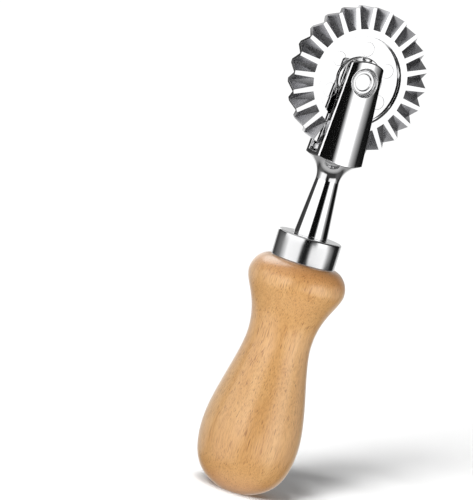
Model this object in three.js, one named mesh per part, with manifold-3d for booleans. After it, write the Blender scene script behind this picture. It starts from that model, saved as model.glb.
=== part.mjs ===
// Pastry cutter wheel: a fluted steel wheel that turns on a hollow-ended rivet in a
// cast fork, whose tang is driven into a turned beech handle under a ferrule.
// Millimetres, +Z up. The tool stands on the flat at the end of its handle, with
// the origin at the middle of that flat and the wheel's axle along Y.
import * as THREE from 'three';
import { ConvexGeometry } from 'three/addons/geometries/ConvexGeometry.js';
import { mergeVertices } from 'three/addons/utils/BufferGeometryUtils.js';
import Module from 'manifold-3d';

const wasm = await Module();
wasm.setup();

// ---- Driving dimensions -----------------------------------------------------
const AXLE_Z = 119.2;

// Handle, turned from one piece of beech
const END_FLAT_R = 5;
const BULB_R = 14.05;
const BULB_Z = 16.1;
const WAIST_R = 9.12;
const WAIST_Z = 44.4;
const SHOULDER_R = 13.78;
const SHOULDER_Z = 60.85;
const NECK_R = 9.2;
const NECK_Z = 66.6;
const TENON_R = 8.3;
const TENON_TOP_Z = 73.2;

// How far the handle's curves run straight on from each point, below and above it
const END_RUN = [3.9, 1.75];
const BULB_RUNS = [12, 8.8];
const WAIST_RUNS = [6.9, 9.1];
const SHOULDER_RUNS = [3.7, 3.6];
const NECK_RUN = 1.8;

// Ferrule, a pressed steel cup over the tenon
const FERRULE_R = 9.1;
const FERRULE_WALL = 0.6;
const FERRULE_BASE_Z = 66.75;
const FERRULE_TOP_Z = 74.1;
const FERRULE_EDGE_R = 0.5;

// Fork, one casting with its stem and tang
const TANG_R = 2.5;
const TANG_BASE_Z = 44.5;
const TANG_CHAMFER_R = 0.5;
const TANG_CHAMFER_Z = 1;
const STEM_BASE_R = 4.8;
const STEM_FOOT_HEIGHT = 0.4;
const STEM_TOP_R = 3.38;
const STEM_TOP_Z = 90;
const BELL_R = 8.2;
const BELL_Z = 96.6;
const STEM_TOP_RUN = [-0.1, 1.1];
const BELL_RUN = 2;
const FORK_BASE_WIDTH = 14.45;
const FORK_TIP_WIDTH = 10.3;
const FORK_TIP_Z = 125.1;
const FORK_TIP_R = 13;
const CHEEK_CROWN_R = 12.5;
const CHEEK_BASE_Y = 6.1;
const CHEEK_TIP_Y = 4.6;
const SLOT_HALF = 2.1;
const SLOT_BASE_Z = 97.5;
const COUNTERBORE_R = 4;
const COUNTERBORE_Y = 3;

// Wheel, fluted on both faces so that its rim is a zigzag
const WHEEL_R = 20.7;
const WHEEL_HALF = 1.85;
const FLUTE_COUNT = 24;
const FLUTE_ROOT_R = 14.55;
const FLUTE_DEPTH = 3.05;
const RIB_ROOT_HALF = 0.78;
const RIB_RIM_HALF = 0.58;
const RIB_PHASE = THREE.MathUtils.degToRad(-6.3);
const RECESS_R = 12.6;
const RECESS_FILLET = 0.5;
const WEB_HALF = 0.65;
const HUB_R = 6.8;
const HUB_CHAMFER = 0.3;
const DIMPLE_COUNT = 6;
const DIMPLE_R = 2;
const DIMPLE_DEPTH = 0.12;
const DIMPLE_REACH = 0.5;
const DIMPLE_CIRCLE_R = 9;
const DIMPLE_PHASE = THREE.MathUtils.degToRad(6.3);

// Rivet, with a flat head behind and a hollow end, rolled over, in front
const RIVET_R = 2.5;
const RIVET_HOLLOW_R = 2.3;
const RIVET_HOLLOW_Y = 3.1;
const RIVET_MOUTH_R = 2.42;
const RIVET_ROLL_R = 3.2;
const RIVET_ROLL_Y = 3.55;
const RIVET_LIP_R = 0.15;
const RIVET_HEAD_R = 3.1;
const RIVET_HEAD_Y = 3.75;
const RIVET_CHAMFER = 0.25;

// How finely round pieces are divided
const BODY_SEGMENTS = 40;
const CHEEK_SEGMENTS = 64;
const WHEEL_SEGMENTS = 48;
const SMALL_SEGMENTS = 32;
const DIMPLE_SEGMENTS = 16;

// How far cutting tools reach past the metal they cut
const OVERCUT = 20;
const SMALL_OVERCUT = 1;

// Points closer than this are one point
const WELD_DISTANCE = 1e-5;

// Clearances
const RUNNING_GAP = 0.08;
const FITTED_GAP = 0.1;
const TANG_GAP = 0.2;
const RIVET_SEAT_GAP = 0.05;

// ---- Helpers ----------------------------------------------------------------
function toSolid(geometry) {
  const plain = geometry.clone();
  plain.deleteAttribute('normal');
  plain.deleteAttribute('uv');
  const merged = mergeVertices(plain, WELD_DISTANCE);
  return new wasm.Manifold(new wasm.Mesh({
    numProp: 3,
    vertProperties: new Float32Array(merged.attributes.position.array),
    triVerts: new Uint32Array(merged.index.array),
  }));
}

function toGeometry(solid) {
  const { vertProperties, triVerts } = solid.getMesh();
  const geometry = new THREE.BufferGeometry();
  geometry.setAttribute('position', new THREE.BufferAttribute(vertProperties, 3));
  geometry.setIndex(new THREE.BufferAttribute(triVerts, 1));
  geometry.computeVertexNormals();
  return geometry;
}

// A profile of [radius, height] points turned about +Z.
function turned(profile, segments) {
  const points = profile.map(([radius, height]) => new THREE.Vector2(radius, height));
  return new THREE.LatheGeometry(points, segments).rotateX(Math.PI / 2);
}

// The same about Y.
function turnedAboutY(profile, segments) {
  const points = profile.map(([radius, height]) => new THREE.Vector2(radius, height));
  return new THREE.LatheGeometry(points, segments);
}

// A cylinder along Y, between two Y values.
function rodAlongY(radius, y0, y1, segments) {
  const rod = new THREE.CylinderGeometry(radius, radius, Math.abs(y1 - y0), segments);
  return rod.translate(0, (y0 + y1) / 2, 0);
}

// Points along a cubic Bezier, leaving out its first point.
function bezier(from, control1, control2, to, steps) {
  const ends = [from, control1, control2, to].map(([x, y]) => new THREE.Vector2(x, y));
  const curve = new THREE.CubicBezierCurve(...ends);
  return curve.getPoints(steps).slice(1).map((p) => [p.x, p.y]);
}

// Points along part of a circle, from angle a0 to a1 in degrees.
function arc(centre, radius, a0, a1, steps) {
  const points = [];
  for (let i = 0; i <= steps; i += 1) {
    const a = THREE.MathUtils.degToRad(a0 + ((a1 - a0) * i) / steps);
    points.push([centre[0] + radius * Math.cos(a), centre[1] + radius * Math.sin(a)]);
  }
  return points;
}

// ---- Handle -----------------------------------------------------------------
function handleGeometry() {
  const flatEdge = [END_FLAT_R, 0];
  const bulb = [BULB_R, BULB_Z];
  const waist = [WAIST_R, WAIST_Z];
  const shoulder = [SHOULDER_R, SHOULDER_Z];
  const neck = [NECK_R, NECK_Z];
  const boreR = TANG_R + TANG_GAP;
  const past = ([radius, height], run) => [radius, height + run];
  const profile = [
    [0, 0],
    flatEdge,
    ...bezier(flatEdge, [END_FLAT_R + END_RUN[0], END_RUN[1]], past(bulb, -BULB_RUNS[0]), bulb, 9),
    ...bezier(bulb, past(bulb, BULB_RUNS[1]), past(waist, -WAIST_RUNS[0]), waist, 8),
    ...bezier(waist, past(waist, WAIST_RUNS[1]), past(shoulder, -SHOULDER_RUNS[0]), shoulder, 7),
    ...bezier(shoulder, past(shoulder, SHOULDER_RUNS[1]), [NECK_R + NECK_RUN, NECK_Z], neck, 5),
    [TENON_R, NECK_Z],
    [TENON_R, TENON_TOP_Z],
    [boreR, TENON_TOP_Z],
    [boreR, TANG_BASE_Z - TANG_GAP],
    [0, TANG_BASE_Z - TANG_GAP],
  ];
  return turned(profile, BODY_SEGMENTS);
}

// ---- Ferrule ----------------------------------------------------------------
function ferruleGeometry() {
  const innerR = FERRULE_R - FERRULE_WALL;
  const edgeCentre = [FERRULE_R - FERRULE_EDGE_R, FERRULE_TOP_Z - FERRULE_EDGE_R];
  const holeR = STEM_BASE_R + FITTED_GAP;
  const profile = [
    [innerR, FERRULE_BASE_Z],
    [FERRULE_R, FERRULE_BASE_Z],
    ...arc(edgeCentre, FERRULE_EDGE_R, 0, 90, 3),
    [holeR, FERRULE_TOP_Z],
    [holeR, FERRULE_TOP_Z - FERRULE_WALL],
    [innerR, FERRULE_TOP_Z - FERRULE_WALL],
    [innerR, FERRULE_BASE_Z],
  ];
  return turned(profile, BODY_SEGMENTS);
}

// ---- Fork -------------------------------------------------------------------
// The casting's round body: tang, tapered stem, flared bell and a plain cylinder
// from which the cheeks are shaped.
function forkBlank() {
  const collarZ = TENON_TOP_Z + FITTED_GAP;
  const stemTop = [STEM_TOP_R, STEM_TOP_Z];
  const bellRim = [BELL_R, BELL_Z];
  const leave = [STEM_TOP_R + STEM_TOP_RUN[0], STEM_TOP_Z + STEM_TOP_RUN[1]];
  const profile = [
    [0, TANG_BASE_Z],
    [TANG_R - TANG_CHAMFER_R, TANG_BASE_Z],
    [TANG_R, TANG_BASE_Z + TANG_CHAMFER_Z],
    [TANG_R, collarZ],
    [STEM_BASE_R, collarZ],
    [STEM_BASE_R, FERRULE_TOP_Z + STEM_FOOT_HEIGHT],
    stemTop,
    ...bezier(stemTop, leave, [STEM_TOP_R, BELL_Z - BELL_RUN], bellRim, 8),
    [BELL_R, FORK_TIP_Z + SMALL_OVERCUT],
    [0, FORK_TIP_Z + SMALL_OVERCUT],
  ];
  return toSolid(turned(profile, BODY_SEGMENTS));
}

// The fork seen square on: sides that taper to a crowned tip.
function forkOutline() {
  const half = FORK_BASE_WIDTH / 2;
  const halfTip = FORK_TIP_WIDTH / 2;
  const crownDrop = FORK_TIP_R - Math.sqrt(FORK_TIP_R ** 2 - halfTip ** 2);
  const cornerZ = FORK_TIP_Z - crownDrop;
  const taper = (half - halfTip) / (cornerZ - BELL_Z);
  const baseZ = TANG_BASE_Z - SMALL_OVERCUT;
  const halfAtBase = half + taper * (BELL_Z - baseZ);
  const cornerAngle = Math.asin(halfTip / FORK_TIP_R);
  const shape = new THREE.Shape();
  shape.moveTo(-halfAtBase, baseZ);
  shape.lineTo(halfAtBase, baseZ);
  shape.lineTo(halfTip, cornerZ);
  const tipCentreZ = FORK_TIP_Z - FORK_TIP_R;
  shape.absarc(0, tipCentreZ, FORK_TIP_R, Math.PI / 2 - cornerAngle, Math.PI / 2 + cornerAngle, false);
  shape.closePath();
  const depth = 2 * OVERCUT;
  const slab = new THREE.ExtrudeGeometry(shape, { depth, bevelEnabled: false, curveSegments: 6 });
  return toSolid(slab.rotateX(Math.PI / 2).translate(0, depth / 2, 0));
}

// A large leaning cylinder whose near wall is the crowned face of one cheek.
// side is -1 for the front cheek and +1 for the back one.
function cheekCylinder(side) {
  const rise = FORK_TIP_Z - BELL_Z;
  const lean = Math.atan((CHEEK_BASE_Y - CHEEK_TIP_Y) / rise);
  const length = 2 * FORK_TIP_Z;
  const cylinder = new THREE.CylinderGeometry(CHEEK_CROWN_R, CHEEK_CROWN_R, length, CHEEK_SEGMENTS);
  cylinder.rotateX(Math.PI / 2).rotateX(side * lean);
  const offset = CHEEK_BASE_Y - CHEEK_CROWN_R / Math.cos(lean);
  return toSolid(cylinder.translate(0, side * offset, BELL_Z));
}

function forkGeometry() {
  const slotTop = FORK_TIP_Z + OVERCUT;
  const slot = new THREE.BoxGeometry(2 * OVERCUT, 2 * SLOT_HALF, slotTop - SLOT_BASE_Z);
  slot.translate(0, 0, (slotTop + SLOT_BASE_Z) / 2);
  const axleHole = rodAlongY(RIVET_R + FITTED_GAP, -OVERCUT, OVERCUT, SMALL_SEGMENTS);
  const frontSeat = rodAlongY(COUNTERBORE_R, -OVERCUT, -COUNTERBORE_Y, SMALL_SEGMENTS);
  const backSeat = rodAlongY(COUNTERBORE_R, COUNTERBORE_Y, OVERCUT, SMALL_SEGMENTS);
  const solid = forkBlank()
    .intersect(forkOutline())
    .intersect(cheekCylinder(-1).add(lowerStock()))
    .intersect(cheekCylinder(1).add(lowerStock()))
    .subtract(toSolid(slot))
    .subtract(toSolid(axleHole.translate(0, 0, AXLE_Z)))
    .subtract(toSolid(frontSeat.translate(0, 0, AXLE_Z)))
    .subtract(toSolid(backSeat.translate(0, 0, AXLE_Z)));
  return toGeometry(solid);
}

// Everything below the bell, which the cheek cylinders leave alone.
function lowerStock() {
  const height = STEM_TOP_Z;
  const radius = 2 * STEM_BASE_R;
  const stock = new THREE.CylinderGeometry(radius, radius, height, DIMPLE_SEGMENTS);
  return toSolid(stock.rotateX(Math.PI / 2).translate(0, 0, STEM_TOP_Z - height / 2));
}

// ---- Wheel ------------------------------------------------------------------
// The wheel lies about its own centre here, with its axis along Y.
function wheelBody() {
  const boreR = RIVET_R + RUNNING_GAP;
  const filletCentre = [RECESS_R - RECESS_FILLET, WEB_HALF + RECESS_FILLET];
  const face = [
    [boreR, WHEEL_HALF],
    [HUB_R - HUB_CHAMFER, WHEEL_HALF],
    [HUB_R, WHEEL_HALF - HUB_CHAMFER],
    [HUB_R, WEB_HALF],
    ...arc(filletCentre, RECESS_FILLET, -90, 0, 2),
    [RECESS_R, WHEEL_HALF],
    [WHEEL_R, WHEEL_HALF],
  ];
  const frontFace = face.map(([radius, y]) => [radius, -y]);
  return toSolid(turnedAboutY([...frontFace, ...face.reverse(), frontFace[0]], WHEEL_SEGMENTS));
}

// The material between two ribs of the front face, pointing up. It has a floor that
// falls from the root to a single point at the rim, and a straight wall on each side.
function fluteCutter() {
  const halfPitch = Math.PI / FLUTE_COUNT;
  const ribTaper = (RIB_ROOT_HALF - RIB_RIM_HALF) / (WHEEL_R - FLUTE_ROOT_R);
  const ribHalfAt = (radius) => RIB_ROOT_HALF - ribTaper * (radius - FLUTE_ROOT_R);
  const halfWidthAt = (radius) => radius * Math.tan(halfPitch) - ribHalfAt(radius);
  const face = -WHEEL_HALF;
  const outerR = WHEEL_R + 2 * SMALL_OVERCUT;
  const outerDepth = (FLUTE_DEPTH * halfWidthAt(outerR)) / halfWidthAt(WHEEL_R);
  const points = [
    new THREE.Vector3(0, face + FLUTE_DEPTH, WHEEL_R),
    new THREE.Vector3(0, face + outerDepth, outerR),
  ];
  for (const y of [face, face - SMALL_OVERCUT]) {
    for (const side of [-1, 1]) {
      points.push(new THREE.Vector3(side * halfWidthAt(FLUTE_ROOT_R), y, FLUTE_ROOT_R));
      points.push(new THREE.Vector3(side * halfWidthAt(outerR), y, outerR));
    }
  }
  return new ConvexGeometry(points);
}

// Cuts the flutes of both faces, those behind lying midway between those in front.
function cutFlutes(body) {
  const pitch = (2 * Math.PI) / FLUTE_COUNT;
  let solid = body;
  for (let i = 0; i < FLUTE_COUNT; i += 1) {
    const front = fluteCutter().rotateY((i + 0.5) * pitch);
    const back = fluteCutter().rotateZ(Math.PI).rotateY(i * pitch);
    solid = solid.subtract(toSolid(front)).subtract(toSolid(back));
  }
  return solid;
}

// Cuts the shallow round marks in the web, on both faces.
function cutDimples(body) {
  let solid = body;
  for (let i = 0; i < DIMPLE_COUNT; i += 1) {
    const angle = DIMPLE_PHASE + (i * 2 * Math.PI) / DIMPLE_COUNT;
    for (const side of [-1, 1]) {
      const floorY = side * (WEB_HALF - DIMPLE_DEPTH);
      const mark = rodAlongY(DIMPLE_R, floorY, floorY + side * DIMPLE_REACH, DIMPLE_SEGMENTS);
      mark.translate(0, 0, DIMPLE_CIRCLE_R).rotateY(angle);
      solid = solid.subtract(toSolid(mark));
    }
  }
  return solid;
}

function wheelGeometry() {
  return toGeometry(cutDimples(cutFlutes(wheelBody())));
}

// ---- Rivet ------------------------------------------------------------------
// About its own centre, with the hollow end rolled over in front (-Y).
function rivetGeometry() {
  const seatY = COUNTERBORE_Y + RIVET_SEAT_GAP;
  const inner = [RIVET_MOUTH_R + RIVET_LIP_R, RIVET_LIP_R - RIVET_ROLL_Y];
  const outer = [RIVET_ROLL_R - RIVET_LIP_R, RIVET_LIP_R - RIVET_ROLL_Y];
  const profile = [
    [0, -RIVET_HOLLOW_Y],
    [RIVET_HOLLOW_R, -RIVET_HOLLOW_Y],
    ...arc(inner, RIVET_LIP_R, -180, -90, 2),
    ...arc(outer, RIVET_LIP_R, -90, 0, 2),
    [RIVET_ROLL_R, -seatY],
    [RIVET_R, -seatY],
    [RIVET_R, seatY],
    [RIVET_HEAD_R, seatY],
    [RIVET_HEAD_R, RIVET_HEAD_Y - RIVET_CHAMFER],
    [RIVET_HEAD_R - RIVET_CHAMFER, RIVET_HEAD_Y],
    [0, RIVET_HEAD_Y],
  ];
  return turnedAboutY(profile, SMALL_SEGMENTS);
}

// ---- Assembly ---------------------------------------------------------------
function piece(name, geometry, color, roughness, metalness) {
  const material = new THREE.MeshStandardMaterial({ color, roughness, metalness });
  const mesh = new THREE.Mesh(geometry, material);
  mesh.name = name;
  return mesh;
}

const handle = piece('handle', handleGeometry(), '#d9965c', 0.42, 0);
const ferrule = piece('ferrule', ferruleGeometry(), '#b9bbbd', 0.24, 1);
const fork = piece('fork', forkGeometry(), '#e4e6e8', 0.08, 1);
const wheel = piece('wheel', wheelGeometry(), '#e8eaec', 0.08, 1);
const rivet = piece('rivet', rivetGeometry(), '#dcdee0', 0.1, 1);

wheel.position.z = AXLE_Z;
wheel.rotation.y = RIB_PHASE;
rivet.position.z = AXLE_Z;

const cutter = new THREE.Group();
cutter.add(handle, ferrule, fork, wheel, rivet);

export default cutter;
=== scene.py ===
import math

import bmesh
import bpy
import numpy as np
from mathutils import Matrix, Vector


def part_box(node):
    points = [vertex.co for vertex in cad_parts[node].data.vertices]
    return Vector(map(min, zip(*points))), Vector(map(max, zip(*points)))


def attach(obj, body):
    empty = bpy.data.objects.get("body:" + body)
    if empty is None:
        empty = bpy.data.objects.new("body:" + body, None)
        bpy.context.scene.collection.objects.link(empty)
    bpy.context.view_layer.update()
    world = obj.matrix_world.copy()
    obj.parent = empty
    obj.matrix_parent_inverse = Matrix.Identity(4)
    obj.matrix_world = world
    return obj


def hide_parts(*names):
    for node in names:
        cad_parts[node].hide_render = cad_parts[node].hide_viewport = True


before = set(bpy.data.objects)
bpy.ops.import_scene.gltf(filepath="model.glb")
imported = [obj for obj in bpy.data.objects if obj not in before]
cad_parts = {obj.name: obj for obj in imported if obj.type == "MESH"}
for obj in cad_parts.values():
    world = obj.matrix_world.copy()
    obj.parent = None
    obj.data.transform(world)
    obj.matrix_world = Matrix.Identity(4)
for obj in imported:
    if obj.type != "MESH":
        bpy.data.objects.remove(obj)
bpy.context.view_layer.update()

MM = 0.001
scene = bpy.context.scene
scene.view_settings.view_transform = "Standard"


def axle_height():
    """Height of the wheel's axle, in millimetres."""
    low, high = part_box("wheel")
    return (low.z + high.z) / 2 / MM


AXLE_Z = axle_height()

# ---- Sizes, as in the CAD model --------------------------------------------------
END_FLAT_R = 5.0
BULB = (14.05, 16.1)
WAIST = (9.12, 44.4)
SHOULDER = (13.78, 60.85)
NECK = (9.2, 66.6)
# Where the outline's curve controls lie: out and up from the flat's edge, below and above
# each bend, and out from the neck.
END_FLAT_PULL = (3.9, 1.75)
BULB_PULL = (12.0, 8.8)
WAIST_PULL = (6.9, 9.1)
SHOULDER_PULL = (3.7, 3.6)
NECK_PULL = 1.8
TENON_R = 8.3
TENON_TOP_Z = 73.2
TANG_R = 2.5
TANG_BASE_Z = 44.5
TANG_GAP = 0.2

FERRULE_R = 9.1
FERRULE_WALL = 0.6
FERRULE_BASE_Z = 66.75
FERRULE_TOP_Z = 74.1
FERRULE_EDGE_R = 0.55
FERRULE_LIP_R = 0.12
STEM_HOLE_GAP = 0.1

COLLAR_Z = 73.3
STEM_BASE_R = 4.8
STEM_BASE_Z = 74.5
STEM_TOP_R = 3.38
STEM_TOP_Z = 90.0
BELL_R = 8.2
BELL_Z = 96.6
BELL_CONTROLS = ((STEM_TOP_R - 0.1, STEM_TOP_Z + 1.1), (STEM_TOP_R, BELL_Z - 2.0))
FORK_BASE_HALF = 7.225
FORK_TIP_HALF = 5.15
FORK_TIP_Z = 125.1
FORK_TIP_R = 13.0
CROWN_R = 12.5
CHEEK_BASE_Y = 6.1
CHEEK_TIP_Y = 4.6
SLOT_HALF = 2.1
SLOT_BASE_Z = 97.5
SEAT_R = 3.88
SEAT_Y = 3.0
AXLE_HOLE_R = 2.6

WHEEL_R = 20.7
FLUTE_ROOT_R = 14.55
RECESS_R = 12.6
RECESS_FILLET = 0.5
WEB_HALF = 0.65
WHEEL_BEVEL = 0.1

RIVET_R = 2.5
RIVET_HOLLOW_R = 2.3
RIVET_HOLLOW_Y = 3.1
RIVET_HOLLOW_FILLET = 0.08
RIVET_MOUTH_R = 2.42
RIVET_ROLL_R = 3.2
RIVET_ROLL_Y = 3.55
RIVET_LIP_R = 0.15
RIVET_HEAD_R = 3.1
RIVET_HEAD_Y = 3.75
RIVET_HEAD_EDGE_R = 0.3
RIVET_SEAT_Y = 3.05
# Widths of the narrow rings that keep the shading of flat faces flat.
END_SUPPORT = 2.0
RIVET_SUPPORT = 0.03

# ---- Fineness of the meshes ------------------------------------------------------
TURNED_SEGMENTS = 128
RIVET_SEGMENTS = 64
SHARP_DEG = 40
FORK_PITCH = 0.2


# ---- Mesh helpers ----------------------------------------------------------------
def bezier(start, control1, control2, end, steps):
    """Points along a cubic curve, leaving out its first point."""
    points = []
    for i in range(1, steps + 1):
        t = i / steps
        weights = ((1 - t) ** 3, 3 * t * (1 - t) ** 2, 3 * t * t * (1 - t), t**3)
        ends = (start, control1, control2, end)
        points.append(tuple(sum(w * p[axis] for w, p in zip(weights, ends)) for axis in (0, 1)))
    return points


def arc(centre, radius, start_deg, end_deg, steps):
    """Points along part of a circle, both ends included."""
    points = []
    for i in range(steps + 1):
        a = math.radians(start_deg + (end_deg - start_deg) * i / steps)
        points.append((centre[0] + radius * math.cos(a), centre[1] + radius * math.sin(a)))
    return points


def make_mesh(name, verts, faces):
    """A mesh from points in millimetres."""
    mesh = bpy.data.meshes.new(name)
    mesh.from_pydata([tuple(c * MM for c in v) for v in verts], [], faces)
    mesh.validate()
    return mesh


def add_piece(name, verts, faces, body, nodes):
    """A mesh piece from points in millimetres, in the row frame."""
    return place_piece(name, make_mesh(name, verts, faces), body, nodes)


def place_piece(name, mesh, body, nodes):
    """Puts a mesh in the scene as a piece that rides a body and replaces CAD nodes."""
    piece = bpy.data.objects.new(name, mesh)
    scene.collection.objects.link(piece)
    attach(piece, body)
    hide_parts(*nodes)
    return piece


def smooth(mesh, sharp_deg):
    """Smooth shading that breaks at edges sharper than an angle."""
    for polygon in mesh.polygons:
        polygon.use_smooth = True
    mesh.set_sharp_from_angle(angle=math.radians(sharp_deg))


def lathe(profile, segments, along_y=False, centre_z=0.0):
    """Turns a profile of (radius, height) about Z, or about Y through centre_z. A closed
    profile ends where it began, and an open one begins and ends on the axis."""
    closed = profile[0] == profile[-1]
    ring_points = profile[:-1] if closed else profile
    verts = []
    rings = []
    for radius, height in ring_points:
        ring = []
        for i in range(segments if radius > 0 else 1):
            a = 2 * math.pi * i / segments
            if along_y:
                point = (radius * math.sin(a), height, centre_z + radius * math.cos(a))
            else:
                point = (radius * math.cos(a), radius * math.sin(a), height)
            ring.append(len(verts))
            verts.append(point)
        rings.append(ring)
    faces = []
    for low, high in zip(rings, rings[1:] + (rings[:1] if closed else [])):
        for i in range(segments):
            j = (i + 1) % segments
            if len(low) == 1:
                faces.append((low[0], high[j], high[i]))
            elif len(high) == 1:
                faces.append((low[i], low[j], high[0]))
            else:
                faces.append((low[i], low[j], high[j], high[i]))
    return verts, faces


# ---- Handle ----------------------------------------------------------------------
def pulls(bend, lengths):
    """The curve controls straight below and straight above a bend of the outline."""
    return (bend[0], bend[1] - lengths[0]), (bend[0], bend[1] + lengths[1])


def make_handle():
    """Flat end, bulb, waist, shoulder and neck, then the tenon and the tang's bore."""
    flat_edge = (END_FLAT_R, 0.0)
    bore_r = TANG_R + TANG_GAP
    bore_z = TANG_BASE_Z - TANG_GAP
    leave_flat = (END_FLAT_R + END_FLAT_PULL[0], END_FLAT_PULL[1])
    below_bulb, above_bulb = pulls(BULB, BULB_PULL)
    below_waist, above_waist = pulls(WAIST, WAIST_PULL)
    below_shoulder, above_shoulder = pulls(SHOULDER, SHOULDER_PULL)
    reach_neck = (NECK[0] + NECK_PULL, NECK[1])
    profile = [(0.0, 0.0), (END_FLAT_R - END_SUPPORT, 0.0), flat_edge]
    profile += bezier(flat_edge, leave_flat, below_bulb, BULB, steps=26)
    profile += bezier(BULB, above_bulb, below_waist, WAIST, steps=24)
    profile += bezier(WAIST, above_waist, below_shoulder, SHOULDER, steps=22)
    profile += bezier(SHOULDER, above_shoulder, reach_neck, NECK, steps=16)
    profile += [(TENON_R, NECK[1]), (TENON_R, TENON_TOP_Z)]
    profile += [(bore_r, TENON_TOP_Z), (bore_r, bore_z), (0.0, bore_z)]
    verts, faces = lathe(profile, TURNED_SEGMENTS)
    piece = add_piece("turned_handle", verts, faces, "tool", ["handle"])
    smooth(piece.data, SHARP_DEG)
    return piece


# ---- Ferrule ---------------------------------------------------------------------
def make_ferrule():
    """A cup turned upside down, with a rounded rim and a hole for the stem."""
    inner_r = FERRULE_R - FERRULE_WALL
    inner_z = FERRULE_TOP_Z - FERRULE_WALL
    hole_r = STEM_BASE_R + STEM_HOLE_GAP
    lip = FERRULE_LIP_R
    edge = FERRULE_EDGE_R
    profile = [(inner_r, FERRULE_BASE_Z)]
    profile += arc((FERRULE_R - lip, FERRULE_BASE_Z + lip), lip, -90, 0, steps=3)
    profile += arc((FERRULE_R - edge, FERRULE_TOP_Z - edge), edge, 0, 90, steps=8)
    profile += arc((hole_r + lip, FERRULE_TOP_Z - lip), lip, 90, 180, steps=3)
    profile += [(hole_r, inner_z), (inner_r, inner_z), profile[0]]
    verts, faces = lathe(profile, TURNED_SEGMENTS)
    piece = add_piece("ferrule_cup", verts, faces, "tool", ["ferrule"])
    smooth(piece.data, SHARP_DEG)
    return piece


# ---- Fork ------------------------------------------------------------------------
def round_and(a, b, radius):
    """Where two solids overlap, with their shared edge rounded. Inside is negative."""
    outside = np.sqrt(np.maximum(a + radius, 0) ** 2 + np.maximum(b + radius, 0) ** 2)
    return np.minimum(-radius, np.maximum(a, b)) + outside


def stem_profile(step=0.05, margin=2):
    """Heights, radii and the cosine of the slope, from under the tang to over the tip."""
    top = (STEM_TOP_R, STEM_TOP_Z)
    rim = (BELL_R, BELL_Z)
    points = [(STEM_BASE_R, 0.0), (STEM_BASE_R, STEM_BASE_Z), top]
    points += bezier(top, *BELL_CONTROLS, rim, steps=48)
    radii, heights = zip(*points)
    z = np.arange(TANG_BASE_Z - margin, FORK_TIP_Z + margin, step)
    r = np.interp(z, heights, radii)
    return z, r, 1 / np.sqrt(1 + np.gradient(r, z) ** 2)


STEM_Z, STEM_R, STEM_COS = stem_profile()
# Radii of the fork's rounded edges.
EDGE_R = 0.18
CHEEK_EDGE_R = 0.25
TIP_EDGE_R = 0.45
SEAT_EDGE_R = 0.26
SEAT_FILLET_R = 0.7
# The cheeks' sides close in towards the outer faces, about a line this far from the slot's
# middle plane.
SIDE_DRAFT = 0.09
SIDE_MIDDLE_Y = 3.2


def fork_field(p):
    """Roughly the distance from the fork's surface, negative inside."""
    x, y, z = p[..., 0], p[..., 1], p[..., 2]
    rho = np.hypot(x, y)
    # The stem, its bell and its collar, and the tang below them.
    stem = (rho - np.interp(z, STEM_Z, STEM_R)) * np.interp(z, STEM_Z, STEM_COS)
    stem = np.maximum(stem, COLLAR_Z - z)
    tang = np.maximum(rho - TANG_R, TANG_BASE_Z - z)
    # The cheeks: sides that taper to a round tip, and crowned faces that lean inwards.
    drop = FORK_TIP_R - math.sqrt(FORK_TIP_R**2 - FORK_TIP_HALF**2)
    corner_z = FORK_TIP_Z - drop
    taper = (FORK_BASE_HALF - FORK_TIP_HALF) / (corner_z - BELL_Z)
    sides = (np.abs(x) - FORK_BASE_HALF + taper * (z - BELL_Z)) / math.hypot(1, taper)
    sides += SIDE_DRAFT * (np.abs(y) - SIDE_MIDDLE_Y)
    tip = np.hypot(x, np.maximum(z - FORK_TIP_Z + FORK_TIP_R, 0)) - FORK_TIP_R
    lean = math.atan((CHEEK_BASE_Y - CHEEK_TIP_Y) / (FORK_TIP_Z - BELL_Z))
    shift = (z - BELL_Z) * math.sin(lean) + (CROWN_R - CHEEK_BASE_Y * math.cos(lean))
    crown = np.hypot(x, np.abs(y) * math.cos(lean) + shift) - CROWN_R
    cheeks = round_and(round_and(crown, sides, CHEEK_EDGE_R), tip, TIP_EDGE_R)
    body = round_and(stem, cheeks, EDGE_R)
    body = np.where(z < STEM_TOP_Z, stem, body)
    # What is cut away: the wheel's slot, the rivet's seats and its hole.
    slot = np.maximum(np.abs(y) - SLOT_HALF, SLOT_BASE_Z - z)
    body = round_and(body, -slot, EDGE_R)
    across = np.hypot(x, z - AXLE_Z)
    seat = round_and(across - SEAT_R, SEAT_Y - np.abs(y), SEAT_FILLET_R)
    body = round_and(body, -seat, SEAT_EDGE_R)
    body = np.maximum(body, AXLE_HOLE_R - across)
    return np.minimum(body, tang)


def gradient(field, points, step=0.01):
    """The field's slope along x, y and z at points."""
    parts = []
    for axis in range(3):
        offset = np.zeros(3)
        offset[axis] = step
        parts.append(field(points + offset) - field(points - offset))
    return np.stack(parts, -1) / (2 * step)


# How often each point is pulled towards the surface, how far it may end up from the
# middle of its cell, as a share of the pitch, and the least slope a step divides by.
PULL_PASSES = 6
PULL_REACH = 0.6
LEAST_SLOPE_SQUARED = 0.05


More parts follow.
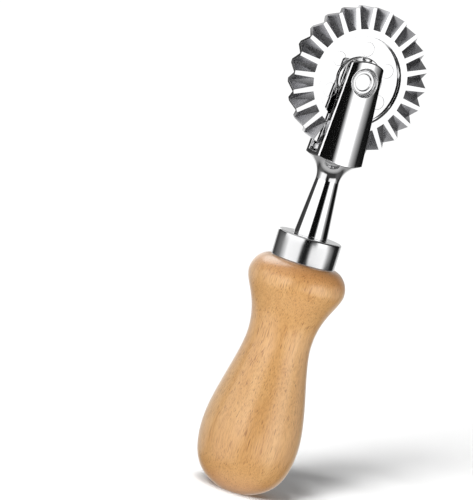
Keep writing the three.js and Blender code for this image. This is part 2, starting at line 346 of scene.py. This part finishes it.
def surface_net(field, low, high, pitch):
    """A closed quad mesh of the field's zero surface inside a box: one point for each
    cell that the surface crosses, pulled onto the surface but kept near its cell."""
    axes = [np.arange(a, b + pitch, pitch) for a, b in zip(low, high)]
    shape = tuple(len(a) for a in axes)
    values = np.empty(shape, np.float32)
    plane = np.stack(np.meshgrid(axes[0], axes[1], indexing="ij"), -1)
    for k, z in enumerate(axes[2]):
        points = np.concatenate([plane, np.full(plane.shape[:2] + (1,), z)], -1)
        values[:, :, k] = field(points)
    inside = values < 0
    # The cells that the surface crosses have some corners inside and some outside.
    corners = np.zeros(tuple(n - 1 for n in shape), np.int8)
    nx, ny, nz = corners.shape
    for i in (0, 1):
        for j in (0, 1):
            for k in (0, 1):
                corners += inside[i : i + nx, j : j + ny, k : k + nz]
    active = (corners > 0) & (corners < 8)
    index = np.full(active.shape, -1, np.int64)
    index[active] = np.arange(active.sum())
    cells = np.argwhere(active)
    centres = np.array(low) + (cells + 0.5) * pitch
    points = centres.copy()
    reach = PULL_REACH * pitch
    for _ in range(PULL_PASSES):
        slope = gradient(field, points)
        size = np.maximum((slope**2).sum(-1), LEAST_SLOPE_SQUARED)
        points -= (field(points) / size)[:, None] * slope
        points = np.clip(points, centres - reach, centres + reach)
    # Each grid edge that the surface crosses gives a quad between the four cells round it.
    faces = []
    for axis in range(3):
        u, v = [(1, 2), (2, 0), (0, 1)][axis]
        first = np.take(inside, range(shape[axis] - 1), axis)
        second = np.take(inside, range(1, shape[axis]), axis)
        crossing = np.argwhere(first != second)
        keep = (crossing[:, u] > 0) & (crossing[:, v] > 0)
        keep &= (crossing[:, u] < shape[u] - 1) & (crossing[:, v] < shape[v] - 1)
        crossing = crossing[keep]
        quad = []
        for du, dv in ((1, 1), (0, 1), (0, 0), (1, 0)):
            cell = crossing.copy()
            cell[:, u] -= du
            cell[:, v] -= dv
            quad.append(index[cell[:, 0], cell[:, 1], cell[:, 2]])
        quad = np.stack(quad, -1)
        outward = first[crossing[:, 0], crossing[:, 1], crossing[:, 2]]
        quad[~outward] = quad[~outward][:, ::-1]
        faces.append(quad)
    return points, np.concatenate(faces)


def mesh_from_field(name, field, low, high, pitch):
    """The field's surface as a mesh, smooth shaded with the field's own normals."""
    points, quads = surface_net(field, low, high, pitch)
    normals = gradient(field, points)
    normals /= np.maximum(np.linalg.norm(normals, axis=1), 1e-9)[:, None]
    mesh = bpy.data.meshes.new(name)
    mesh.vertices.add(len(points))
    mesh.vertices.foreach_set("co", (points * MM).astype(np.float32).ravel())
    mesh.loops.add(quads.size)
    mesh.loops.foreach_set("vertex_index", quads.astype(np.int32).ravel())
    mesh.polygons.add(len(quads))
    mesh.polygons.foreach_set("loop_start", np.arange(0, quads.size, 4, dtype=np.int32))
    mesh.update(calc_edges=True)
    for polygon in mesh.polygons:
        polygon.use_smooth = True
    mesh.normals_split_custom_set_from_vertices(normals.astype(np.float32).tolist())
    return mesh


# The box that the fork is meshed in.
FORK_MARGIN = 0.6
FORK_BOX_X = 8.7
FORK_BOX_Y = 6.9


def make_fork():
    low = (-FORK_BOX_X, -FORK_BOX_Y, TANG_BASE_Z - FORK_MARGIN)
    high = (FORK_BOX_X, FORK_BOX_Y, FORK_TIP_Z + FORK_MARGIN)
    mesh = mesh_from_field("fork_casting", fork_field, low, high, FORK_PITCH)
    return place_piece("fork_casting", mesh, "tool", ["fork"])


# ---- Wheel -----------------------------------------------------------------------
# Points this near a boundary count as on it, and points this close are one point.
NEAR = 0.01 * MM
SAME = 0.001 * MM
COPLANAR_DEG = 1
WHEEL_EDGE_DEG = 20
# How squarely a face looks along the axle: a flat face does, a fluted one doesn't.
FLAT_FACING = 0.9999
FLUTE_FACING = 0.97


def square_up(verts):
    """Closes the CAD wheel's fillet between web and wall into a plain corner, which the
    bevel then rounds."""
    low_r = (RECESS_R - RECESS_FILLET) * MM
    for vert in verts:
        across = math.hypot(vert.co.x, vert.co.z - AXLE_Z * MM)
        depth = abs(vert.co.y)
        in_ring = low_r - NEAR < across < RECESS_R * MM + NEAR
        if in_ring and depth < (WEB_HALF + RECESS_FILLET) * MM + NEAR:
            stretch = RECESS_R * MM / across
            vert.co.x *= stretch
            vert.co.z = AXLE_Z * MM + (vert.co.z - AXLE_Z * MM) * stretch
            vert.co.y = math.copysign(WEB_HALF * MM, vert.co.y)


def make_wheel():
    """The CAD wheel with its edges rounded off."""
    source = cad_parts["wheel"].data
    mesh = bpy.data.meshes.new("cutting_wheel")
    work = bmesh.new()
    work.from_mesh(source)
    square_up(work.verts)
    bmesh.ops.remove_doubles(work, verts=work.verts, dist=SAME)
    bmesh.ops.dissolve_degenerate(work, dist=SAME, edges=work.edges)
    bmesh.ops.dissolve_limit(
        work, angle_limit=math.radians(COPLANAR_DEG), verts=work.verts, edges=work.edges
    )
    work.to_mesh(mesh)
    work.free()
    piece = place_piece("cutting_wheel", mesh, "cutting_wheel", ["wheel"])
    bevel = piece.modifiers.new("edge_round", "BEVEL")
    bevel.width = WHEEL_BEVEL * MM
    bevel.segments = 2
    bevel.limit_method = "ANGLE"
    bevel.angle_limit = math.radians(WHEEL_EDGE_DEG)
    bevel.harden_normals = True
    smooth(mesh, WHEEL_EDGE_DEG)
    for polygon in mesh.polygons:
        if abs(polygon.normal.y) > FLAT_FACING:
            polygon.use_smooth = False
    return piece


def mark_flutes(mesh):
    """Gives the sloping faces of the flutes the second material."""
    for polygon in mesh.polygons:
        centre = polygon.center / MM
        from_axle = math.hypot(centre.x, centre.z - AXLE_Z)
        in_band = FLUTE_ROOT_R < from_axle < WHEEL_R - WHEEL_BEVEL
        if in_band and abs(polygon.normal.y) < FLUTE_FACING:
            polygon.material_index = 1


# ---- Rivet -----------------------------------------------------------------------
def make_rivet():
    """The axle: a hollow, round-lipped ring in front and a flat head behind."""
    fillet = RIVET_HOLLOW_FILLET
    lip = RIVET_LIP_R
    edge = RIVET_HEAD_EDGE_R
    hollow_r = RIVET_HOLLOW_R - fillet
    inner_lip_r = RIVET_MOUTH_R + lip
    outer_lip_r = RIVET_ROLL_R - lip
    lip_y = lip - RIVET_ROLL_Y
    head_r = RIVET_HEAD_R - edge
    profile = [(0.0, -RIVET_HOLLOW_Y), (hollow_r - RIVET_SUPPORT, -RIVET_HOLLOW_Y)]
    profile += arc((hollow_r, -RIVET_HOLLOW_Y - fillet), fillet, 90, 0, steps=3)
    profile += arc((inner_lip_r, lip_y), lip, -180, -90, steps=6)
    profile += [(inner_lip_r + RIVET_SUPPORT, -RIVET_ROLL_Y)]
    profile += [(outer_lip_r - RIVET_SUPPORT, -RIVET_ROLL_Y)]
    profile += arc((outer_lip_r, lip_y), lip, -90, 0, steps=6)
    profile += [(RIVET_ROLL_R, -RIVET_SEAT_Y), (RIVET_R, -RIVET_SEAT_Y)]
    profile += [(RIVET_R, RIVET_SEAT_Y), (RIVET_HEAD_R, RIVET_SEAT_Y)]
    profile += arc((head_r, RIVET_HEAD_Y - edge), edge, 0, 90, steps=5)
    profile += [(head_r - RIVET_SUPPORT, RIVET_HEAD_Y), (0.0, RIVET_HEAD_Y)]
    verts, faces = lathe(profile, RIVET_SEGMENTS, along_y=True, centre_z=AXLE_Z)
    piece = add_piece("axle_rivet", verts, faces, "tool", ["rivet"])
    smooth(piece.data, SHARP_DEG)
    return piece


# ---- Materials -------------------------------------------------------------------
# Where most of a noise texture's values lie.
NOISE_LOW, NOISE_HIGH = 0.3, 0.7
# How far a metal's roughness strays from its mean, as a share of it.
GLOSS_SPREAD = 0.12


class Nodes:
    """Short calls for building the node tree of a material or the world."""

    def __init__(self, owner):
        owner.use_nodes = True
        self.tree = owner.node_tree

    def add(self, kind, **settings):
        node = self.tree.nodes.new(kind)
        for key, value in settings.items():
            setattr(node, key, value)
        return node

    def set(self, socket, value):
        """Links another node's output to a socket, or gives it a plain value."""
        if hasattr(value, "links"):
            self.tree.links.new(value, socket)
        else:
            socket.default_value = value

    def math(self, operation, a, b):
        node = self.add("ShaderNodeMath", operation=operation)
        self.set(node.inputs[0], a)
        self.set(node.inputs[1], b)
        return node.outputs[0]

    def share(self, value, low, high, to_low=0.0, to_high=1.0):
        """value as a share of the way from low to high, laid between to_low and to_high."""
        node = self.add("ShaderNodeMapRange")
        for socket, number in zip(node.inputs, (value, low, high, to_low, to_high)):
            self.set(socket, number)
        return node.outputs[0]

    def ramp(self, value, stops):
        """Colours at places from 0 to 1."""
        node = self.add("ShaderNodeValToRGB")
        elements = node.color_ramp.elements
        while len(elements) < len(stops):
            elements.new(0.5)
        for element, (place, color) in zip(elements, stops):
            element.position = place
            element.color = (*color, 1)
        self.set(node.inputs[0], value)
        return node.outputs[0]

    def mix(self, factor, a, b, mode="MIX"):
        node = self.add("ShaderNodeMix", data_type="RGBA", blend_type=mode)
        for index, value in ((0, factor), (6, a), (7, b)):
            self.set(node.inputs[index], value)
        return node.outputs[2]


class Material(Nodes):
    """A material, whose textures are laid out in the object's own frame."""

    def __init__(self, name):
        self.material = bpy.data.materials.new(name)
        super().__init__(self.material)
        self.shader = self.tree.nodes["Principled BSDF"]

    def surface(self, name, value):
        """Sets one input of the surface's shader."""
        self.set(self.shader.inputs[name], value)

    def position(self, scale, offset=(0, 0, 0), lean=(0, 0, 0)):
        """Position in the object's own frame, in millimetres, scaled and turned."""
        coords = self.add("ShaderNodeTexCoord")
        mapping = self.add("ShaderNodeMapping")
        mapping.inputs["Scale"].default_value = [s / MM for s in scale]
        mapping.inputs["Location"].default_value = offset
        mapping.inputs["Rotation"].default_value = lean
        self.set(mapping.inputs["Vector"], coords.outputs["Object"])
        return mapping.outputs["Vector"]

    def noise(self, position, detail, roughness, distortion=0.0):
        node = self.add("ShaderNodeTexNoise")
        node.inputs["Scale"].default_value = 1.0
        node.inputs["Detail"].default_value = detail
        node.inputs["Roughness"].default_value = roughness
        node.inputs["Distortion"].default_value = distortion
        self.set(node.inputs["Vector"], position)
        return node.outputs["Fac"]

    def bump(self, height, distance, strength):
        node = self.add("ShaderNodeBump")
        node.inputs["Distance"].default_value = distance * MM
        node.inputs["Strength"].default_value = strength
        self.set(node.inputs["Height"], height)
        self.surface("Normal", node.outputs["Normal"])


def beech():
    """Turned beech: warm tan, fine streaks and short dark flecks along the grain, painted shade
    as darker, redder bands at the butt and over the shoulder's top, under a clear satin
    lacquer."""
    n = Material("beech_wood")
    white = (1.0, 1.0, 1.0)
    lean = (0.06, -0.04, 0)
    # Scales are per millimetre along x, y and z: the grain runs up the handle.
    broad = n.noise(n.position((0.14, 0.14, 0.02)), 2.0, 0.5, 0.6)
    grain = n.noise(n.position((0.9, 0.9, 0.06), (3, 5, 1), lean), 3.0, 0.6, 0.3)
    fine = n.noise(n.position((4.5, 4.5, 0.36), (6, 1, 8), lean), 2.0, 0.55, 0.1)
    fleck = n.noise(n.position((3.1, 3.1, 0.26), (9, 2, 4), lean), 1.0, 0.4)
    color = n.ramp(broad, [(NOISE_LOW, (0.70, 0.42, 0.180)), (NOISE_HIGH, (0.76, 0.49, 0.228))])
    streaks = n.ramp(grain, [(0.34, (0.91, 0.85, 0.76)), (0.62, white)])
    threads = n.ramp(fine, [(0.36, (0.68, 0.54, 0.42)), (0.54, white)])
    flecks = n.ramp(fleck, [(0.29, (0.54, 0.40, 0.27)), (0.38, white)])
    # Painted shade: the wood is darker and redder in a band at the butt, next to the floor, and
    # over the shoulder's top, which faces up; only the butt's flat face is real end grain.
    height = n.add("ShaderNodeSeparateXYZ")
    n.set(height.inputs[0], n.position((1, 1, 1 / NECK[1])))
    painted_end_shade = n.ramp(height.outputs["Z"], [
        (0.0, (0.93, 0.80, 0.77)),
        (0.09, white),
        (0.92, white),
        (0.97, (0.93, 0.82, 0.79)),
    ])
    for share, layer in ((0.6, streaks), (0.6, threads), (0.8, flecks), (1.0, painted_end_shade)):
        color = n.mix(share, color, layer, "MULTIPLY")
    n.surface("Base Color", color)
    n.surface("Roughness", n.share(fine, NOISE_LOW, NOISE_HIGH, 0.46, 0.36))
    n.bump(fleck, distance=0.03, strength=0.4)
    n.surface("Coat Weight", 1.0)
    n.surface("Coat Roughness", 0.28)
    n.surface("Coat IOR", 1.75)
    n.surface("Coat Tint", (1.0, 0.90, 0.74, 1))
    return n.material


def polished(name, color, roughness, mottle=0.03, streaks=(0.6, 0.6, 0.6)):
    """Bright metal whose gloss varies a little from place to place. mottle is how much
    darker its darker places are, and streaks how closely its gloss varies along x, y
    and z."""
    n = Material(name)
    wear = n.noise(n.position((0.25, 0.25, 0.25)), 4.0, 0.6)
    fine = n.noise(n.position(streaks, (4, 1, 7)), 2.0, 0.5)
    dark = tuple(c * (1 - mottle) for c in color)
    smoother = roughness * (1 - GLOSS_SPREAD)
    rougher = roughness * (1 + GLOSS_SPREAD)
    n.surface("Base Color", n.ramp(wear, [(NOISE_LOW, dark), (NOISE_HIGH, color)]))
    n.surface("Roughness", n.share(fine, NOISE_LOW, NOISE_HIGH, smoother, rougher))
    n.surface("Metallic", 1.0)
    return n.material


def give(piece, material):
    piece.data.materials.clear()
    piece.data.materials.append(material)


# ---- Pieces ----------------------------------------------------------------------
handle = make_handle()
ferrule = make_ferrule()
fork = make_fork()
wheel = make_wheel()
rivet = make_rivet()

CHROME = (0.93, 0.93, 0.935)
give(handle, beech())
give(ferrule, polished("ferrule_steel", (0.88, 0.88, 0.885), 0.14, streaks=(0.15, 0.15, 5.0)))
give(fork, polished("fork_chrome", CHROME, 0.07))
give(wheel, polished("wheel_chrome", CHROME, 0.06))
flute_satin = polished("flute_satin", (0.70, 0.70, 0.72), 0.28, 0.10, (1.4, 1.4, 1.4))
wheel.data.materials.append(flute_satin)
mark_flutes(wheel.data)
give(rivet, polished("rivet_steel", (0.90, 0.90, 0.905), 0.12))


# ---- Camera ----------------------------------------------------------------------
# The camera looks past the target, which lies TARGET_RIGHT to the right of the middle
# of its view and TARGET_DOWN below it. Its distance is in metres.
TARGET = Vector((0, 0, 70 * MM))
CAMERA_AZIMUTH = math.radians(29.7)
CAMERA_ELEVATION = math.radians(5.5)
CAMERA_ROLL = math.radians(16.85)
CAMERA_DISTANCE = 1.065
CAMERA_LENS = 276.8
TARGET_RIGHT = 19.28 * MM
TARGET_DOWN = 0.06 * MM


def make_camera():
    """A long lens, rolled so that the upright tool leans in the picture."""
    forward = Vector((
        math.sin(CAMERA_AZIMUTH) * math.cos(CAMERA_ELEVATION),
        math.cos(CAMERA_AZIMUTH) * math.cos(CAMERA_ELEVATION),
        -math.sin(CAMERA_ELEVATION),
    ))
    right = Vector((math.cos(CAMERA_AZIMUTH), -math.sin(CAMERA_AZIMUTH), 0))
    up = right.cross(forward)
    rolled_right = math.cos(CAMERA_ROLL) * right + math.sin(CAMERA_ROLL) * up
    rolled_up = rolled_right.cross(forward)
    place = TARGET - forward * CAMERA_DISTANCE
    aim = TARGET - rolled_right * TARGET_RIGHT + rolled_up * TARGET_DOWN
    axis = (aim - place).normalized()
    side = axis.cross(rolled_up).normalized()
    top = side.cross(axis)
    camera = bpy.data.objects.new("camera", bpy.data.cameras.new("camera"))
    scene.collection.objects.link(camera)
    camera.matrix_world = Matrix((
        (side.x, top.x, -axis.x, place.x),
        (side.y, top.y, -axis.y, place.y),
        (side.z, top.z, -axis.z, place.z),
        (0, 0, 0, 1),
    ))
    camera.data.lens = CAMERA_LENS
    camera.data.sensor_width = 36
    camera.data.clip_start = 0.01
    camera.data.clip_end = 50
    camera.data.dof.use_dof = False
    scene.camera = camera


make_camera()


# ---- Floor -----------------------------------------------------------------------
FLOOR_R = 700.0
FLOOR_GAP = 0.05
FLOOR_GREY = 0.42


def make_floor():
    """A round floor just under the tool, seen by the camera but not by the metal."""
    verts, faces = lathe([(0.0, -FLOOR_GAP), (FLOOR_R, -FLOOR_GAP)], segments=96)
    floor = bpy.data.objects.new("floor", make_mesh("floor", verts, faces))
    scene.collection.objects.link(floor)
    floor.visible_glossy = False
    floor.visible_diffuse = False
    n = Material("pale_floor")
    n.surface("Base Color", (FLOOR_GREY, FLOOR_GREY, FLOOR_GREY, 1))
    n.surface("Roughness", 0.9)
    n.surface("Specular IOR Level", 0.1)
    give(floor, n.material)
    return floor


floor = make_floor()


# ---- Light -----------------------------------------------------------------------
SOFTBOX_COLOR = (0.82, 0.93, 1.0)
LAMP_DISTANCE = 1.0


def around(azimuth_deg, elevation_deg):
    """Unit vector towards a bearing measured from the camera's, positive to its right."""
    a = math.radians(azimuth_deg) - CAMERA_AZIMUTH
    e = math.radians(elevation_deg)
    return Vector((math.sin(a) * math.cos(e), -math.cos(a) * math.cos(e), math.sin(e)))


def add_sun(name, azimuth_deg, elevation_deg, spread_deg, strength, lit):
    """A soft lamp that lights only the given pieces and isn't mirrored in the metal."""
    data = bpy.data.lights.new(name, "SUN")
    data.angle = math.radians(spread_deg)
    data.energy = strength
    lamp = place_lamp(name, data, around(azimuth_deg, elevation_deg), lit)
    lamp.visible_glossy = False


def add_softbox(name, azimuth_deg, elevation_deg, size, power, lit):
    """A round softbox that lights only the given pieces, and shows as their highlight."""
    data = bpy.data.lights.new(name, "AREA")
    data.shape = "DISK"
    data.size = size
    data.energy = power
    data.color = SOFTBOX_COLOR
    place_lamp(name, data, around(azimuth_deg, elevation_deg), lit)


def place_lamp(name, data, direction, lit):
    """Aims a lamp at the tool and ties it to the pieces that it lights."""
    lamp = bpy.data.objects.new(name, data)
    scene.collection.objects.link(lamp)
    lamp.location = TARGET + direction * LAMP_DISTANCE
    lamp.rotation_mode = "QUATERNION"
    lamp.rotation_quaternion = direction.to_track_quat("Z", "Y")
    group = bpy.data.collections.new(name + "_lit")
    for piece in lit:
        group.objects.link(piece)
    lamp.light_linking.receiver_collection = group
    return lamp


PIECES = [handle, ferrule, fork, wheel, rivet]
# A tall strip light in front and to the left, as elevations and the brightness that
# each part of it gives the floor.
FLOOR_STRIP = [(19, 0.11), (23, 0.09), (28, 0.10), (35, 0.13), (46, 0.18), (60, 0.24)]
for elevation, brightness in FLOOR_STRIP:
    strength = brightness * math.pi / (FLOOR_GREY * math.sin(math.radians(elevation)))
    add_sun("floor_key", -17.5, elevation, 9, strength, [floor])
add_sun("floor_fill", -40, 70, 140, 1.25, [floor])
add_sun("key", -22, 4, 40, 2.15, PIECES)
add_sun("fill", 65, 0, 60, 1.25, PIECES)
add_softbox("shoulder_glow", -142, 54, 1.0, 6.0, [handle])
add_softbox("left_edge", -128, 0, 1.0, 1.5, [handle])
add_softbox("right_edge", 112, 0, 0.8, 0.7, [handle])
# The metal mirrors the studio alone, with no wood colour in it.
handle.visible_glossy = False


# ---- World -----------------------------------------------------------------------
def greys(stops):
    """Ramp stops of plain grey."""
    return [(place, (grey, grey, grey)) for place, grey in stops]


def bearings(stops):
    """Grey stops given in degrees from the camera's bearing, as ramp places."""
    return greys([((degrees + 180) / 360, grey) for degrees, grey in stops])


BACKDROP = (1.05, 1.05, 1.05, 1)
# What lights the wood, from straight below to straight above.
SOFT_LIGHT = greys([
    (0.0, 0.80),
    (0.5, 0.68),
    (0.62, 0.45),
    (1.0, 0.05),
])
# What the metal mirrors: a ring of panels and flags round the tool, above and below the
# horizon, in front of a plainer room.
UPPER_PANELS = bearings([
    (-180, 0.62),
    (-176, 0.62),
    (-170, 1.3),
    (-153, 1.3),
    (-147, 0.03),
    (-93, 0.06),
    (-87, 1.3),
    (-17, 1.3),
    (-12, 0.004),
    (26, 0.004),
    (31, 0.45),
    (38, 1.35),
    (69, 1.35),
    (76, 0.60),
    (85, 0.30),
    (92, 0.14),
    (97, 0.006),
    (138, 0.006),
    (148, 0.35),
    (176, 0.62),
    (180, 0.62),
])
LOWER_PANELS = bearings([
    (-180, 0.9),
    (-156, 0.8),
    (-148, 0.12),
    (-136, 0.04),
    (-99, 0.22),
    (-76, 0.8),
    (-70, 1.1),
    (-23, 1.0),
    (-15, 0.06),
    (-8, 0.01),
    (5, 0.01),
    (10, 0.08),
    (20, 0.95),
    (74, 1.10),
    (88, 0.40),
    (112, 0.015),
    (138, 0.015),
    (150, 0.60),
    (180, 0.90),
])
# Where the lower panels turn into the upper ones, and where those end. These heights,
# and all below, are sines of the angle above the horizon.
PANEL_SEAM = (-0.07, -0.01)
PANEL_TOP = (0.42, 0.32)
# How far below the horizon the panels reach.
PANEL_HEMS = bearings([
    (-180, 0.40),
    (-100, 0.45),
    (-60, 0.56),
    (-20, 0.56),
    (-8, 0.40),
    (8, 0.22),
    (20, 0.32),
    (75, 0.34),
    (100, 0.14),
    (150, 0.40),
    (180, 0.40),
])
HEM_SOFTNESS = 0.10
# The room behind the panels, and the heights where each part of it takes over.
GROUND = bearings([
    (-180, 0.35),
    (-155, 0.30),
    (-130, 0.05),
    (-100, 0.13),
    (-70, 0.11),
    (-40, 0.04),
    (60, 0.045),
    (85, 0.10),
    (110, 0.08),
    (130, 0.05),
    (150, 0.32),
    (180, 0.35),
])
SKY = bearings([
    (-180, 0.30),
    (-160, 0.30),
    (-130, 0.60),
    (-30, 0.56),
    (-5, 0.06),
    (130, 0.04),
    (160, 0.20),
    (180, 0.30),
])
SKY_START = (0.30, 0.42)
ZENITH = (0.17, 0.17, 0.17, 1)
ZENITH_START = (0.85, 1.0)
TABLE_GLOW = (0.5, 0.5, 0.5, 1)
TABLE_START = (-0.74, -0.90)


def make_world():
    """A pale background, soft even light for the wood, and the studio for the metal."""
    scene.world = bpy.data.worlds.new("studio")
    n = Nodes(scene.world)
    n.tree.nodes.clear()
    coords = n.add("ShaderNodeTexCoord")
    turn = n.add("ShaderNodeVectorRotate", rotation_type="Z_AXIS")
    turn.inputs["Angle"].default_value = CAMERA_AZIMUTH
    n.set(turn.inputs["Vector"], coords.outputs["Generated"])
    parts = n.add("ShaderNodeSeparateXYZ")
    n.set(parts.inputs[0], turn.outputs[0])
    away = n.math("MULTIPLY", parts.outputs["Y"], -1.0)
    bearing = n.share(n.math("ARCTAN2", parts.outputs["X"], away), -math.pi, math.pi)
    height = parts.outputs["Z"]

    room = n.mix(n.share(height, *SKY_START), n.ramp(bearing, GROUND), n.ramp(bearing, SKY))
    room = n.mix(n.share(height, *ZENITH_START), room, ZENITH)
    room = n.mix(n.share(height, *TABLE_START), room, TABLE_GLOW)
    lower = n.ramp(bearing, LOWER_PANELS)
    upper = n.ramp(bearing, UPPER_PANELS)
    panels = n.mix(n.share(height, *PANEL_SEAM), lower, upper)
    hem = n.math("MULTIPLY", n.ramp(bearing, PANEL_HEMS), -1.0)
    over_hem = n.share(height, n.math("SUBTRACT", hem, HEM_SOFTNESS), hem)
    in_panel = n.math("MULTIPLY", over_hem, n.share(height, *PANEL_TOP))
    studio = n.mix(in_panel, room, panels)

    path = n.add("ShaderNodeLightPath")
    soft = n.ramp(n.share(height, -1.0, 1.0), SOFT_LIGHT)
    light = n.mix(path.outputs["Is Glossy Ray"], soft, studio)
    seen = n.mix(path.outputs["Is Camera Ray"], light, BACKDROP)
    background = n.add("ShaderNodeBackground")
    n.set(background.inputs["Color"], seen)
    output = n.add("ShaderNodeOutputWorld")
    n.set(output.inputs["Surface"], background.outputs[0])


make_world()
